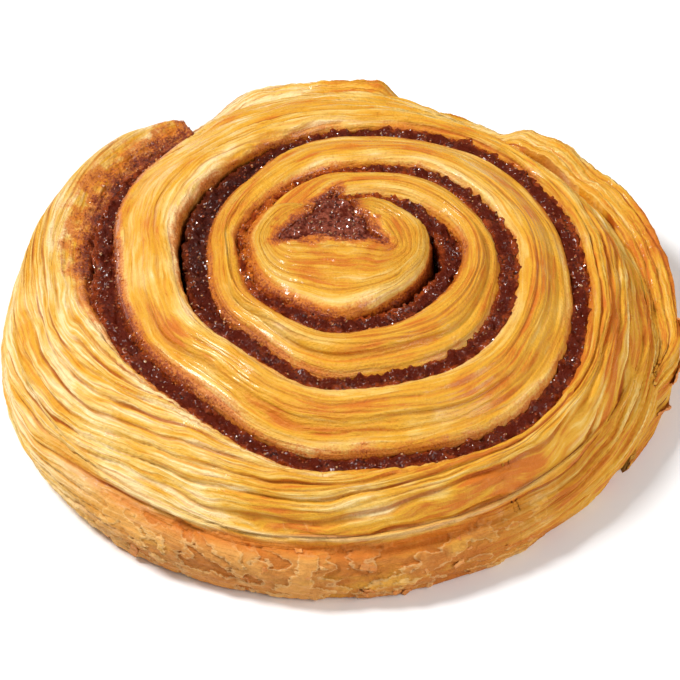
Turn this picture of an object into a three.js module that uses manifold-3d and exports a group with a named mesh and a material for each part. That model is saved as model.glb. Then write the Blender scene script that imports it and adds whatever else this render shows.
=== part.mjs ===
// A cinnamon swirl: one strip of laminated dough, wound into a flat spiral with a band of
// cinnamon filling between its turns, and baked until its cut edge domed up in the middle.
//
// Millimetres, +Z up. The origin is on the surface that the roll lies on, under its middle.
// An angle is in degrees of winding: 0 at twelve o'clock (+Y), growing clockwise seen from
// above, so that 0 to 360 is the innermost turn of filling and 1050 is where it comes out.

import * as THREE from 'three';
import { mergeVertices } from 'three/addons/utils/BufferGeometryUtils.js';
import Module from 'manifold-3d';

// ---- Driving dimensions -------------------------------------------------------------------

const TURN = 360;
const EIGHTH = TURN / 8;
const STATION = 7.5;               // a cross-section is made this often along the strip
const GAP = 0.3;                   // between the filling and the dough

// The middle line of the filling: its distance from the axis at every eighth of a turn.
const FILLING_FROM = -EIGHTH;
const FILLING_RADII = [
  6.0,
  10.2, 13.0, 17.2, 17.8, 19.1, 18.8, 18.1, 17.2,
  19.4, 23.8, 26.6, 29.6, 29.7, 26.7, 25.5, 27.5,
  33.5, 38.9, 39.5, 43.8, 42.8, 38.8, 39.8, 46.8,
  55.8,
];
const AXIS = [0.27, 1.65];         // of the winding, from the middle of the roll's footprint
const EYE_OFFSET = 1.5;            // the innermost turns lie this far to the right
const EYE_REACH = [20, 50];        // and the offset fades out between these radii

// The dome of the cut edge, and the band of filling that lies a little below it.
const TOP_HEIGHT = 29.8;
const DOME_DROP = 0.0052;          // height lost per square millimetre of radius
const FILLING_THICKNESS = { at: [0, 200, 450, 640, 800, 1000], is: [2.4, 3.0, 3.4, 4.2, 3.8, 4.4] };
const FILLING_RECESS = {
  at: [0, 40, 90, 150, 200, 300, 520, 600, 640, 700, 740, 1000],
  is: [1.0, 1.5, 5.0, 2.5, 1.0, 1.0, 1.2, 3.5, 6.0, 5.0, 1.5, 2.0],
};
const FILLING_FLOOR = 0.4;
const FILLING_CROWN = 0.5;
const FILLING_LUMP = 0.3;
const FILLING_START = -3 * STATION;
const FILLING_END = 1050;

// Across the band and up it: where the vertices of its cross-section lie.
const FILLING_OUTLINE = [[-1, 0], [-1, 0.5], [-1, 1], [-0.4, 1], [0.4, 1], [1, 1], [1, 0.5], [1, 0]];

// The room that is cut for the filling where it starts and where it comes out.
const INLET = [FILLING_START - STATION, 2 * STATION];
const OUTLET = [FILLING_END - 4 * STATION + 0.4, FILLING_END + 0.4];
const BELOW = -1;
const ABOVE = 10;

// The eye of the spiral: a three-cornered patch of filling.
const PATCH_CORNERS = [[-9.4, -0.6], [-2.0, 8.6], [5.6, -0.6]];
const PATCH_MIDDLE = [-2.0, 2.4];
const PATCH_INRADIUS = 2.8;        // from its middle to its sides
const PATCH_ROUND = 2.6;
const PATCH_RECESS = 0.6;

// The dough inside the innermost turn: the outline of one half, as shares of radius and height.
const CORE_OUTLINE = [[0, 1], [0.5, 1], [0.87, 1], [0.97, 0.95], [1, 0.88], [1, 0.06], [0.9, 0], [0, 0]];

// The outermost turn, whose outer side is the baked skin. Its lip is where the cut edge ends.
const LIP_FROM = 675;
const LIP_RADII = [48.6, 51.2, 51.0, 52.4, 51.4, 52.9, 54.3, 55.5, 56.8, 55.2];
const LIP_HEIGHTS = [18.0, 17.8, 12.0, 13.0, 12.6, 12.2, 12.2, 12.6, 15.4, 5.0];
const SIDE_BULGE = { at: [675, 740, 800, 960, 1020], is: [0.8, 1.2, 2.0, 2.4, 0.6] };
const SIDE_FLARE = { at: [675, 740, 800, 920, 1020], is: [0.6, 1.0, 1.8, 2.7, 0.0] };

// Near its end the outermost turn opens outwards, and thins to an edge at its lip.
const WING = [975, 1035];
const WING_EDGE = 0.5;

// Places where the dough has drawn back from the filling, which leaves a dark gap that closes
// towards the bottom: on the core's side at the innermost turn, and on the outer side further out.
const CORE_GAP = { at: [50, 95, 150, 195], is: [0, 2.2, 1.6, 0] };
const OUTER_GAP = { at: [590, 635, 665, 700], is: [0, 1.6, 1.6, 0] };

// Rounding of the strip's edges, blended from the inner turns to the outermost one.
const BLEND_TURNS = [640, 760];
const INNER_SHOULDER = { wide: 1.8, deep: 2.2 };
const OUTER_SHOULDER = { wide: 2.2, deep: 3.0 };
const LIP_ROUND = { wide: 0.7, deep: 0.8 };
const TOE = 1.3;
const TURN_CROWN = 0.5;
const OUTER_CROWN = { at: [700, 750, 800, 860], is: [1.6, 0.5, 0.9, 1.6] };

// Layers of the dough that show as ridges on the cut edge, and blisters on the skin.
const INNER_RIDGE = 0.15;
const OUTER_RIDGE = 0.55;
const BLISTER = 0.45;

// The strip starts inside the core and ends where the filling comes out.
const STRIP_START = -3 * STATION;
const STRIP_START_RADIUS = 4;
const STRIP_END = FILLING_END;

// The tail of the strip, a thin end that wraps on round the back of the roll.
const TAIL = {
  from: 1035, to: 1185, slant: 14, thickness: 5.2, fringe: 0.35,
  at: [1035, 1050, 1065, 1087, 1094, 1112, 1119, 1127, 1133, 1140, 1155, 1170, 1184],
  radii: [54.0, 55.6, 55.0, 53.8, 53.2, 53.8, 55.0, 55.6, 55.9, 56.7, 57.2, 57.0, 58.8],
  heights: [9.0, 14.2, 16.0, 17.4, 12.6, 12.0, 15.0, 15.4, 13.6, 14.0, 12.4, 11.0, 9.4],
  outline: [[0, 0], [0, 0.35], [0, 0.7], [0.3, 1], [0.75, 1], [1, 0.85], [1, 0.5], [0.85, 0.15], [0.7, 0]],
};
const TAIL_TUCK = { at: [1035, 1110, 1190], is: [0.6, 1.4, 3.4] };

// Thin scales of crust that have lifted off the side: how many, from where and how far apart.
const FLAKES = 16;
const FLAKES_FROM = 805;
const FLAKE_SPACING = 14.4;
const FLAKE_STRAY = 5;             // either way from its place, in degrees of winding
const FLAKE_UP = [0.2, 0.56];      // lowest and highest, as shares of the side's height
const FLAKE_SIZE = [9.0, 1.5, 4.6]; // along the side, out from it, and up
const FLAKE_UNEVEN = 0.35;
const FLAKE_SIDES = [7, 4];
const FLAKE_YAW = 16;
const FLAKE_PITCH = [-14, 2];
const FLAKE_SUNK = 0.1;

// Steps of the walk round a cross-section of the strip, leg by leg.
const STRIP_WALK = [
  ['innerWall', 3], ['innerShoulder', 2], ['top', 6], ['outerShoulder', 2],
  ['outerWall', 4], ['outerToe', 1], ['bottom', 2], ['innerToe', 1],
];
const STRIP_STEPS = STRIP_WALK.reduce((sum, [, steps]) => sum + steps, 0);

const WELD = 1e-4;                 // vertices closer than this are one
const SLIVER = 0.05;               // joining leaves triangles this thin, which are taken up

// ---- Curves -------------------------------------------------------------------------------

const { smoothstep, clamp, degToRad, lerp } = THREE.MathUtils;

// A value that eases from each knot to the next, and is level at the knots.
function eased(x, knots, values) {
  return knots.slice(1).reduce(
    (sum, knot, k) => sum + (values[k + 1] - values[k]) * smoothstep(x, knots[k], knot),
    values[0],
  );
}

function everyEighth(from, count) {
  return Array.from({ length: count }, (_, k) => from + k * EIGHTH);
}

// An even spiral, plus what the winding departs from it.
const fillingKnots = everyEighth(FILLING_FROM, FILLING_RADII.length);
const pitch = (FILLING_RADII.at(-1) - FILLING_RADII[0]) / (fillingKnots.at(-1) - FILLING_FROM);
const departures = FILLING_RADII.map((radius, k) => radius - pitch * fillingKnots[k]);

function fillingRadius(angle) {
  return pitch * angle + eased(angle, fillingKnots, departures);
}

function fillingThickness(angle) {
  return eased(angle, FILLING_THICKNESS.at, FILLING_THICKNESS.is);
}

function domeHeight(radius) {
  return TOP_HEIGHT - DOME_DROP * radius * radius;
}

// Past the place that the filling comes out a turn later, nothing lies outside the strip.
function isOutermost(angle) {
  return angle > FILLING_END - TURN;
}

const lipKnots = everyEighth(LIP_FROM, LIP_RADII.length);

function lipRadius(angle) {
  return eased(angle, lipKnots, LIP_RADII);
}

function lipHeight(angle) {
  return eased(angle, lipKnots, LIP_HEIGHTS);
}

// The two walls of the dough strip at an angle.
function innerWall(angle) {
  return angle < 0 ? STRIP_START_RADIUS : fillingRadius(angle) + fillingThickness(angle) / 2 + GAP;
}

function outerWall(angle) {
  const next = angle + TURN;
  return isOutermost(angle)
    ? lipRadius(angle)
    : fillingRadius(next) - fillingThickness(next) / 2 - GAP;
}

// From a radius, an angle and a height to a place in the roll's frame.
function place(radius, angle, height) {
  const offset = EYE_OFFSET * (1 - smoothstep(radius, ...EYE_REACH));
  const turned = degToRad(angle);
  const x = AXIS[0] + offset + radius * Math.sin(turned);
  const y = AXIS[1] + radius * Math.cos(turned);
  return new THREE.Vector3(x, y, height);
}

// A number from -1 to 1 that is always the same for the same two whole numbers.
function lump(i, j) {
  const wave = Math.sin(i * 127.1 + j * 311.7) * 43758.5453;
  return 2 * (wave - Math.floor(wave)) - 1;
}

// A value that is halfway between two others at a lump of 0.
function between([low, high], lumpy) {
  return lerp(low, high, (lumpy + 1) / 2);
}

// ---- The strip's cross-section ------------------------------------------------------------

// How far the walk has come on each leg, from 0 to 1.
function progress(step) {
  const done = {};
  let start = 0;
  for (const [leg, steps] of STRIP_WALK) {
    done[leg] = clamp((step - start) / steps, 0, 1);
    start += steps;
  }
  return done;
}

function stripSection(angle) {
  const outermost = smoothstep(angle, ...BLEND_TURNS);
  const inner = innerWall(angle);
  const outer = outerWall(angle);
  const skin = smoothstep(angle, FILLING_END - TURN, FILLING_END - TURN + EIGHTH);
  const wing = smoothstep(angle, ...WING);
  const outerHeight = isOutermost(angle) ? lipHeight(angle) : domeHeight(outer);
  const shoulderWide = lerp(OUTER_SHOULDER.wide, LIP_ROUND.wide, outermost);
  return {
    inner,
    outer,
    innerHeight: lerp(domeHeight(inner), outerHeight, wing),
    outerHeight,
    shoulderWide,
    shoulderDeep: lerp(OUTER_SHOULDER.deep, LIP_ROUND.deep, outermost),
    crown: lerp(TURN_CROWN, eased(angle, OUTER_CROWN.at, OUTER_CROWN.is), outermost) * (1 - wing),
    ridge: lerp(INNER_RIDGE, OUTER_RIDGE, outermost) * (1 - wing),
    station: Math.round(angle / STATION),
    blister: BLISTER * skin,
    lean: wing * (outer - inner - INNER_SHOULDER.wide - shoulderWide - WING_EDGE)
      + eased(angle, OUTER_GAP.at, OUTER_GAP.is),
    bulge: skin * eased(angle, SIDE_BULGE.at, SIDE_BULGE.is),
    flare: skin * eased(angle, SIDE_FLARE.at, SIDE_FLARE.is),
  };
}

const quarterSin = (t) => Math.sin(t * Math.PI / 2);
const quarterCos = (t) => 1 - Math.cos(t * Math.PI / 2);
const halfSin = (t) => Math.sin(t * Math.PI);

// The radius and height reached after some steps: up the inner wall, over the top, down the
// outer wall and back along the bottom, where each leg adds its own share.
function walk(section, step) {
  const done = progress(step);
  const topWidth = section.outer - section.shoulderWide - section.inner - section.lean - INNER_SHOULDER.wide;
  const bottomWidth = section.outer + section.flare - section.inner - 2 * TOE;
  const radius = section.inner
    + section.lean * done.innerWall
    + INNER_SHOULDER.wide * quarterCos(done.innerShoulder)
    + topWidth * done.top
    + section.shoulderWide * quarterSin(done.outerShoulder)
    + section.flare * done.outerWall
    + section.bulge * halfSin(done.outerWall)
    - TOE * quarterCos(done.outerToe)
    - bottomWidth * done.bottom
    - TOE * quarterSin(done.innerToe);
  const height = TOE
    + (section.innerHeight - INNER_SHOULDER.deep - TOE) * done.innerWall
    + INNER_SHOULDER.deep * quarterSin(done.innerShoulder)
    + (section.outerHeight - section.innerHeight) * done.top
    + section.crown * halfSin(done.top)
    - section.shoulderDeep * quarterCos(done.outerShoulder)
    - (section.outerHeight - section.shoulderDeep - TOE) * done.outerWall
    - TOE * quarterSin(done.outerToe)
    + TOE * quarterCos(done.innerToe);
  const partWay = (leg) => leg > 0 && leg < 1;
  const blister = partWay(done.outerWall) ? section.blister * lump(section.station, step) : 0;
  const groove = partWay(done.top) && step % 2 ? section.ridge : 0;
  return { radius: radius + blister, height: height - groove };
}

// ---- Solids -------------------------------------------------------------------------------

// Bends a closed cylinder: its height runs along the strip and its girth round the section.
// The point given for a station and a step is where that vertex goes; the caps' centres go
// to the middle of the end sections.
function bentCylinder(stations, steps, pointAt, middleOf) {
  const geometry = new THREE.CylinderGeometry(1, 1, 1, steps, stations);
  const position = geometry.attributes.position;
  for (let k = 0; k < position.count; k += 1) {
    const [x, y, z] = [position.getX(k), position.getY(k), position.getZ(k)];
    const station = Math.round((0.5 - y) * stations);
    const turned = Math.atan2(x, z) / (2 * Math.PI);
    const step = Math.round((turned + 1) * steps) % steps;
    const onAxis = Math.hypot(x, z) < 0.5;
    const point = onAxis ? middleOf(station) : pointAt(station, step);
    position.setXYZ(k, point.x, point.y, point.z);
  }
  return welded(geometry);
}

function welded(geometry) {
  geometry.deleteAttribute('normal');
  geometry.deleteAttribute('uv');
  return mergeVertices(geometry, WELD);
}

function doughStrip() {
  const stations = Math.round((STRIP_END - STRIP_START) / STATION);
  const angleOf = (station) => STRIP_START + station * STATION;
  const pointAt = (station, step) => {
    const { radius, height } = walk(stripSection(angleOf(station)), step);
    return place(radius, angleOf(station), height);
  };
  const middleOf = (station) => {
    const section = stripSection(angleOf(station));
    const radius = (section.inner + section.lean / 2 + section.outer) / 2;
    return place(radius, angleOf(station), section.outerHeight / 2);
  };
  return bentCylinder(stations, STRIP_STEPS, pointAt, middleOf);
}

// The dough inside the innermost turn of filling.
function doughCore() {
  const points = CORE_OUTLINE.map(([across, up]) => new THREE.Vector2(across, up));
  const geometry = new THREE.LatheGeometry(points, TURN / STATION);
  const position = geometry.attributes.position;
  for (let k = 0; k < position.count; k += 1) {
    const [x, up, z] = [position.getX(k), position.getY(k), position.getZ(k)];
    const across = Math.hypot(x, z);
    const turned = THREE.MathUtils.radToDeg(Math.atan2(x, z));
    const angle = THREE.MathUtils.euclideanModulo(Math.round(turned / STATION) * STATION, TURN);
    const gap = GAP + up * eased(angle, CORE_GAP.at, CORE_GAP.is);
    const edge = fillingRadius(angle) - fillingThickness(angle) / 2 - gap;
    const point = place(across * edge, angle, up * domeHeight(across * edge));
    position.setXYZ(k, point.x, point.y, point.z);
  }
  return welded(geometry);
}

// A wall that follows the side of the roll, thin and low, with a slanted end that flares.
function doughTail() {
  const stations = Math.round((TAIL.to - TAIL.from) / STATION);
  const pointAt = (station, step) => {
    const [across, up] = TAIL.outline[step];
    const along = station / stations;
    const angle = TAIL.from + station * STATION + TAIL.slant * (1 - up) * along ** 4;
    const outer = eased(angle, TAIL.at, TAIL.radii);
    const height = eased(angle, TAIL.at, TAIL.heights);
    const fringe = TAIL.fringe * lump(station, step);
    const tucked = eased(angle, TAIL_TUCK.at, TAIL_TUCK.is) * (1 - up) * across;
    const radius = outer - TAIL.thickness * (1 - across) - tucked;
    return place(radius + fringe * across, angle, height * up);
  };
  const [innerSide, outerSide] = [1, 6];
  const middleOf = (station) => pointAt(station, innerSide).lerp(pointAt(station, outerSide), 0.5);
  return bentCylinder(stations, TAIL.outline.length, pointAt, middleOf);
}

// A thin scale of crust, bent round the side and lifted at one edge.
function crustFlake(k) {
  const angle = FLAKES_FROM + k * FLAKE_SPACING + FLAKE_STRAY * lump(k, 1);
  const up = between(FLAKE_UP, lump(k, 2));
  const section = stripSection(Math.min(angle, STRIP_END - STATION));
  const height = TOE + up * section.outerHeight;
  const radius = section.outer + section.flare * (1 - up) + section.bulge * halfSin(up) - FLAKE_SUNK;
  const flake = new THREE.SphereGeometry(1, ...FLAKE_SIDES);
  flake.scale(...FLAKE_SIZE.map((size, axis) => size / 2 * (1 + FLAKE_UNEVEN * lump(k, 3 + axis))));
  flake.rotateY(degToRad(FLAKE_YAW * lump(k, 8)));
  flake.rotateX(degToRad(between(FLAKE_PITCH, lump(k, 7))));
  flake.rotateZ(degToRad(-angle));
  const centre = place(radius, angle, height);
  flake.translate(centre.x, centre.y, centre.z);
  return welded(flake);
}

function fillingBand(thicker, [from, to], lowest, higher) {
  const stations = Math.round((to - from) / STATION);
  const pointAt = (station, step) => {
    const angle = from + station * STATION;
    const [across, up] = FILLING_OUTLINE[step];
    const middle = fillingRadius(angle);
    const inside = Math.abs(across) < 1;
    const bump = inside ? FILLING_CROWN + FILLING_LUMP * lump(station, step) : 0;
    const top = domeHeight(middle) - eased(angle, FILLING_RECESS.at, FILLING_RECESS.is);
    const radius = middle + across * (fillingThickness(angle) / 2 + thicker);
    return place(radius, angle, lerp(lowest, top + bump + higher, up));
  };
  const [innerSide, outerSide] = [1, 6];
  const middleOf = (station) => pointAt(station, innerSide).lerp(pointAt(station, outerSide), 0.5);
  return bentCylinder(stations, FILLING_OUTLINE.length, pointAt, middleOf);
}

// The patch of filling at the eye, as an upright three-cornered post with rounded corners.
function fillingPatch(wider, lowest, highest) {
  const middle = new THREE.Vector2(...PATCH_MIDDLE);
  const corners = PATCH_CORNERS.map(([x, y]) => new THREE.Vector2(x, y));
  corners.forEach((corner) => corner.sub(middle).multiplyScalar(1 + wider / PATCH_INRADIUS).add(middle));
  const outline = new THREE.Shape();
  corners.forEach((corner, k) => {
    const before = corners[(k + corners.length - 1) % corners.length];
    const after = corners[(k + 1) % corners.length];
    const arrive = before.clone().sub(corner).setLength(PATCH_ROUND).add(corner);
    const leave = after.clone().sub(corner).setLength(PATCH_ROUND).add(corner);
    const go = k === 0 ? 'moveTo' : 'lineTo';
    outline[go](arrive.x, arrive.y);
    outline.quadraticCurveTo(corner.x, corner.y, leave.x, leave.y);
  });
  outline.closePath();
  const post = new THREE.ExtrudeGeometry(outline, {
    depth: highest - lowest, bevelEnabled: false, curveSegments: 4, steps: 1,
  });
  post.translate(AXIS[0], AXIS[1], lowest);
  return welded(post);
}

// ---- Joining and cutting ------------------------------------------------------------------

const wasm = await Module();
wasm.setup();

function solid(geometry) {
  return new wasm.Manifold(new wasm.Mesh({
    numProp: 3,
    vertProperties: new Float32Array(geometry.attributes.position.array),
    triVerts: new Uint32Array(geometry.index.array),
  }));
}

function geometryOf(manifold) {
  const { vertProperties, triVerts } = manifold.simplify(SLIVER).getMesh();
  const geometry = new THREE.BufferGeometry();
  geometry.setAttribute('position', new THREE.BufferAttribute(new Float32Array(vertProperties), 3));
  geometry.setIndex(new THREE.BufferAttribute(new Uint32Array(triVerts), 1));
  geometry.computeVertexNormals();
  return geometry;
}

function dough() {
  const outlet = solid(fillingBand(GAP, OUTLET, BELOW, ABOVE));
  const tail = solid(doughTail()).subtract(outlet);
  const flakes = Array.from({ length: FLAKES }, (_, k) => solid(crustFlake(k)));
  const pieces = [solid(doughCore()), tail, ...flakes];
  const body = pieces.reduce((sum, next) => sum.add(next), solid(doughStrip()));
  const inlet = solid(fillingBand(GAP, INLET, BELOW, ABOVE));
  const eye = solid(fillingPatch(GAP, BELOW, TOP_HEIGHT + ABOVE));
  return geometryOf(body.subtract(inlet).subtract(eye));
}

function filling() {
  const band = solid(fillingBand(0, [FILLING_START, FILLING_END], FILLING_FLOOR, 0));
  const patch = solid(fillingPatch(0, FILLING_FLOOR, TOP_HEIGHT - PATCH_RECESS));
  return geometryOf(band.add(patch));
}

// ---- The roll -----------------------------------------------------------------------------

const crust = new THREE.MeshStandardMaterial({ color: 0xe6ab57, roughness: 0.45, metalness: 0 });
const cinnamon = new THREE.MeshStandardMaterial({ color: 0x6a2f1a, roughness: 0.4, metalness: 0 });

function piece(name, geometry, material) {
  const mesh = new THREE.Mesh(geometry, material);
  mesh.name = name;
  return mesh;
}

const roll = new THREE.Group();
roll.add(piece('dough', dough(), crust));
roll.add(piece('filling', filling(), cinnamon));

export default roll;
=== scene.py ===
# %% [markdown]
# A laminated cinnamon roll, photographed from above and in front. The solids of the frame give
# its true size: a spiral of dough with a band of cinnamon filling between its turns. This
# lesson dresses them: the dough gets the edges of its many layers, the skin its blisters, the
# filling its grains and syrup. Sizes are in millimetres and angles in degrees of winding: 0 at
# twelve o'clock, growing clockwise seen from above, one turn of filling for each 360.

# %% Frame
import math

import bpy
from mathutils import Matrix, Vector


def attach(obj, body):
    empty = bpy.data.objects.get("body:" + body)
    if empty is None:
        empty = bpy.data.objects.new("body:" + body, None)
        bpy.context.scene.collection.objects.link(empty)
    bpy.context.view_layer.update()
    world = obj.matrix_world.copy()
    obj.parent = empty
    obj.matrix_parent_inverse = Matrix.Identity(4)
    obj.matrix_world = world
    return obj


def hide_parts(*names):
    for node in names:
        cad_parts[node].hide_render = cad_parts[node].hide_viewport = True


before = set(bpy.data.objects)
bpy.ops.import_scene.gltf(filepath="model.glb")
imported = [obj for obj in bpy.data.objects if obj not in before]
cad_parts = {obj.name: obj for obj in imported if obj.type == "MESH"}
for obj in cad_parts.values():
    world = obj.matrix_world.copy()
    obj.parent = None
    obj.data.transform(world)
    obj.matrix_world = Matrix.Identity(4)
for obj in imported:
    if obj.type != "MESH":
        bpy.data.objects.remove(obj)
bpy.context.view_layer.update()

MM = 0.001
TURN = 360.0


# %% [markdown]
# Node trees are easier to read as formulas. A wire is one output of a node, and the class gives
# it Python's own signs, so that a sum written on wires adds the Math nodes that work it out. The
# same formula then also works on plain numbers, which is handy for placing single things.

# %% Wires and graphs
class Wire:
    """An output socket that can be used in sums like a number."""

    def __init__(self, graph, socket):
        self.graph = graph
        self.socket = socket

    def out(self, name):
        """Another output of the same node."""
        return Wire(self.graph, self.socket.node.outputs[name])

    def __add__(self, other):
        return maths("ADD", self, other)

    def __sub__(self, other):
        return maths("SUBTRACT", self, other)

    def __rsub__(self, other):
        return maths("SUBTRACT", other, self)

    def __mul__(self, other):
        return maths("MULTIPLY", self, other)

    def __truediv__(self, other):
        return maths("DIVIDE", self, other)

    def __pow__(self, other):
        return maths("POWER", self, other)

    __radd__ = __add__
    __rmul__ = __mul__


class Graph:
    """A node tree that is filled from top to bottom."""

    def __init__(self, tree):
        self.tree = tree

    def node(self, kind, settings=None, inputs=None):
        """Adds a node: its settings first, then values or links for its sockets."""
        made = self.tree.nodes.new(kind)
        for name, value in (settings or {}).items():
            setattr(made, name, value)
        for name, value in (inputs or {}).items():
            self.feed(self.socket(made, name), value)
        shown = [socket for socket in made.outputs if socket.enabled]
        return Wire(self, shown[0]) if shown else made

    @staticmethod
    def socket(made, name):
        if isinstance(name, int):
            return made.inputs[name]
        return next(socket for socket in made.inputs if socket.name == name and socket.enabled)

    def feed(self, socket, value):
        if isinstance(value, Wire):
            self.tree.links.new(value.socket, socket)
        else:
            socket.default_value = value


def wires(terms):
    return [term for term in terms if isinstance(term, Wire)]


PLAIN = {"SINE": math.sin, "COSINE": math.cos}


def maths(operation, *terms):
    """A Math node on wires, or plain arithmetic on numbers."""
    found = wires(terms)
    if not found:
        return PLAIN[operation](*terms)
    return found[0].graph.node("ShaderNodeMath", {"operation": operation}, dict(enumerate(terms)))


# %% Vectors
def vector(graph, x=0.0, y=0.0, z=0.0):
    return graph.node("ShaderNodeCombineXYZ", inputs={"X": x, "Y": y, "Z": z})


def parts_of(graph, arrow):
    """The x, y and z of a vector, as three wires."""
    split = graph.node("ShaderNodeSeparateXYZ", inputs={0: arrow})
    return split, split.out("Y"), split.out("Z")


def scaled(graph, arrow, by):
    return graph.node("ShaderNodeVectorMath", {"operation": "SCALE"}, {"Vector": arrow, "Scale": by})


# %% [markdown]
# A few curves carry the whole shape. Smoothstep eases from 0 to 1 between two places, and eased
# joins a list of values with it, so that a radius can be given at every eighth of a turn and
# stays smooth in between. Ramp is the straight version, which a walk round a section needs.

# %% Curves
def ramp(x, low, high):
    span = {"Value": x, "From Min": low, "From Max": high}
    return x.graph.node("ShaderNodeMapRange", {"clamp": True}, span)


def smoothstep(x, low, high):
    if isinstance(x, Wire):
        span = {"Value": x, "From Min": low, "From Max": high}
        return x.graph.node("ShaderNodeMapRange", {"interpolation_type": "SMOOTHSTEP"}, span)
    t = min(max((x - low) / (high - low), 0.0), 1.0)
    return t * t * (3 - 2 * t)


def lerp(start, end, share):
    return start + (end - start) * share


def eased(x, at, to):
    """A value that eases from each place to the next, and is level at the places."""
    total = to[0]
    for k in range(1, len(at)):
        if to[k] != to[k - 1]:
            total = total + smoothstep(x, at[k - 1], at[k]) * (to[k] - to[k - 1])
    return total


def radians(angle):
    return angle * (math.pi / 180)


def quarter_sine(t):
    return maths("SINE", t * (math.pi / 2))


def quarter_cosine(t):
    return 1 - maths("COSINE", t * (math.pi / 2))


def half_sine(t):
    return maths("SINE", t * math.pi)


def floor(x):
    return maths("FLOOR", x)


def noise(x, y, z=0.0, detail=2.0, rough=0.5):
    """Noise from -1 to 1 whose bumps are about one unit of its coordinates apart."""
    graph = wires((x, y, z))[0].graph
    given = {"Vector": vector(graph, x, y, z), "Scale": 1.0, "Detail": detail, "Roughness": rough}
    return graph.node("ShaderNodeTexNoise", inputs=given) * 2 - 1


def grain(spot, size, *more):
    """Noise in all directions, whose bumps are about a size in millimetres apart."""
    return noise(*[part / size for part in spot], *more)


# %% [markdown]
# The winding is the same as in the solids: the radius of the filling's middle line at every
# eighth of a turn, an even spiral plus what it departs from it. The dough lies between one turn
# of filling and the next, and the last turn lies between the filling and the lip of the roll.

# %% The winding
EIGHTH = TURN / 8
FILLING_FROM = -EIGHTH
FILLING_RADII = [
    6.0,
    10.2, 13.0, 17.2, 17.8, 19.1, 18.8, 18.1, 17.2,
    19.4, 23.8, 26.6, 29.6, 29.7, 26.7, 25.5, 27.5,
    33.5, 38.9, 39.5, 43.8, 42.8, 38.8, 39.8, 46.8,
    55.8,
]
FILLING_PLACES = [FILLING_FROM + k * EIGHTH for k in range(len(FILLING_RADII))]
FILLING_END = 1050.0
PITCH = (FILLING_RADII[-1] - FILLING_RADII[0]) / (FILLING_PLACES[-1] - FILLING_PLACES[0])
DEPARTURES = [radius - PITCH * angle for radius, angle in zip(FILLING_RADII, FILLING_PLACES)]
AXIS = (0.27, 1.65)
EYE_OFFSET = 1.5
EYE_REACH = (20.0, 50.0)
TOP_HEIGHT = 29.8
DOME_DROP = 0.0052
THICKNESS = {
    "at": [-20, 20, 60, 100, 180, 230, 270, 340, 380, 450, 540, 600, 660, 720, 800, 900, 990],
    "to": [0.2, 0.4, 2.2, 2.8, 2.6, 1.2, 0.4, 0.4, 1.5, 2.5, 2.0, 2.8, 3.8, 2.6, 2.6, 2.6, 3.0],
}


def filling_radius(angle):
    return angle * PITCH + eased(angle, FILLING_PLACES, DEPARTURES)


def filling_thickness(angle):
    return eased(angle, **THICKNESS)


def dome_height(radius):
    return TOP_HEIGHT - radius * radius * DOME_DROP


def place(radius, angle):
    """The x and y of a place at a radius and an angle of winding."""
    offset = (1 - smoothstep(radius, *EYE_REACH)) * EYE_OFFSET
    turned = radians(angle)
    x = radius * maths("SINE", turned) + offset + AXIS[0]
    y = radius * maths("COSINE", turned) + AXIS[1]
    return x, y


print("the filling winds out to", round(filling_radius(FILLING_END), 1), "mm")

# %% [markdown]
# The outermost turn has a lip where the cut edge ends and the baked skin begins. Its radius and
# height are given all round. Close to the end the turn opens like a wing: its cut edge sinks
# beside the filling and rises to the lip. In a few places the dough has drawn back from the
# filling, which leaves a dark gap.

# %% The outermost turn
LIP_FROM = 675.0
LIP_RADII = [48.6, 51.2, 51.0, 52.4, 51.4, 52.9, 54.3, 55.5, 56.8, 55.2]
LIP_HEIGHTS = [18.0, 17.8, 12.0, 13.0, 12.6, 12.2, 12.2, 12.6, 15.4, 5.0]
LIP_PLACES = [LIP_FROM + k * EIGHTH for k in range(len(LIP_RADII))]
SIDE_BULGE = {"at": [675, 740, 800, 960, 1020], "to": [0.8, 1.2, 2.0, 2.4, 0.6]}
SIDE_FLARE = {"at": [675, 740, 800, 920, 1020], "to": [0.6, 1.0, 1.8, 2.7, 0.0]}
WING = (965.0, 1020.0)
WING_FLOOR = 12.6
OUTER_GAP = {"at": [585, 625, 675, 705], "to": [0, 1.1, 1.0, 0]}
CORE_GAP = {"at": [55, 95, 150, 190], "to": [0, 2.0, 1.9, 0]}
BLEND = (640.0, 760.0)
OUTERMOST = FILLING_END - TURN
HANDOVER = (OUTERMOST - 5.0, OUTERMOST + 5.0)
INNER_SHOULDER = (2.3, 2.6)
OUTER_SHOULDER = (2.8, 3.2)
LIP_ROUND = (0.7, 0.8)
TOE = 1.3
CROWN = {"at": [-30, 60], "to": [0.2, 1.0]}
OUTER_CROWN = {"at": [700, 750, 800, 860], "to": [1.6, 0.5, 0.9, 1.6]}


def outer_wall(angle):
    following = angle + TURN
    inside = filling_radius(following) - filling_thickness(following) * 0.5
    lip = eased(angle, LIP_PLACES, LIP_RADII)
    return lerp(inside, lip, smoothstep(angle, *HANDOVER))


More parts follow.
